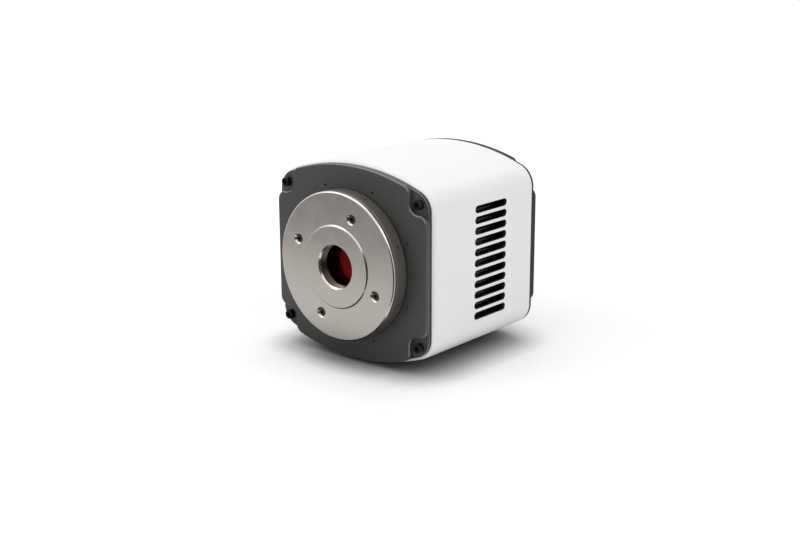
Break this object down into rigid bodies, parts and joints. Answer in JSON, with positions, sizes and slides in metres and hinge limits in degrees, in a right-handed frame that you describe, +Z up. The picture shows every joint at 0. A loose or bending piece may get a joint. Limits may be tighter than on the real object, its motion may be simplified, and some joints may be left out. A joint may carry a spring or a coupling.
{
  "type": "cooled scientific camera",
  "caption": "Box-shaped cooled scientific camera with a round threaded lens mount plate, white vented sleeve, scalloped dark end covers and an internal fan-cooled sensor chamber.",
  "frame": {"origin": "middle of the bounding box's footprint, on the surface that the foot stands on", "axes": "-Y along the optical axis, out of the lens mount; +Z up; the vented sides face +X and -X"},
  "size_m": [0.118, 0.1244, 0.1188],
  "materials": {
    "nickel_plate": "satin nickel plating",
    "grey_anodised": "satin dark grey anodising",
    "black_anodised": "matt black anodising",
    "white_paint": "satin white powder coat over aluminium",
    "black_oxide": "black oxide",
    "stainless": "satin",
    "black_plastic": "moulded, matt",
    "black_rubber": "matt",
    "coated_glass": "multi-coated",
    "silicon": "polished die",
    "ceramic": "fired alumina",
    "copper": "machined copper",
    "circuit_board": "green solder mask",
    "gold_brass": "gold plated",
    "light_pipe": "moulded clear plastic"
  },
  "bodies": {
    "camera": {"chamber_body": "black_anodised", "chassis_floor": "black_anodised", "cold_plate": "copper", "cooler_cold_stage": "ceramic", "cooler_hot_stage": "ceramic", "corner_post_1": "stainless", "corner_post_2": "stainless", "corner_post_3": "stainless", "corner_post_4": "stainless", "dc_jack": "black_plastic", "fan_frame": "black_plastic", "fan_screw_1": "black_oxide", "fan_screw_2": "black_oxide", "fan_screw_3": "black_oxide", "fan_screw_4": "black_oxide", "front_corner_screw_1": "black_oxide", "front_corner_screw_2": "black_oxide", "front_corner_screw_3": "black_oxide", "front_corner_screw_4": "black_oxide", "front_plate": "grey_anodised", "heat_sink": "black_anodised", "housing_sleeve": "white_paint", "main_board": "circuit_board", "memory_chip_1": "black_plastic", "memory_chip_2": "black_plastic", "mount_plate": "nickel_plate", "mount_screw_1": "stainless", "mount_screw_2": "stainless", "mount_screw_3": "stainless", "mount_screw_4": "stainless", "port_board": "circuit_board", "processor_chip": "black_plastic", "rear_corner_screw_1": "black_oxide", "rear_corner_screw_2": "black_oxide", "rear_corner_screw_3": "black_oxide", "rear_corner_screw_4": "black_oxide", "rear_cover": "grey_anodised", "sensor_board": "circuit_board", "sensor_die": "silicon", "sensor_package": "ceramic", "status_led": "light_pipe", "switch_frame": "black_plastic", "trigger_jack_1": "gold_brass", "trigger_jack_2": "gold_brass", "trigger_jack_3": "gold_brass", "tripod_block": "black_anodised", "turret_ring": "grey_anodised", "usb_port": "stainless", "window_glass": "coated_glass", "window_retainer": "black_anodised", "window_seal": "black_rubber"},
    "fan": {"fan_rotor": "black_plastic"},
    "rocker": {"power_rocker": "black_plastic"}
  },
  "joints": [
    {"name": "fan_spin", "type": "hinge", "parent": "camera", "child": "fan", "pos_m": [0, 0.04127, 0.0648], "axis": [0, 1, 0], "continuous": true},
    {"name": "power_switch", "type": "hinge", "parent": "camera", "child": "rocker", "pos_m": [0.034, 0.05198, 0.0178], "axis": [1, 0, 0], "range_deg": [-20, 0]}
  ]
}
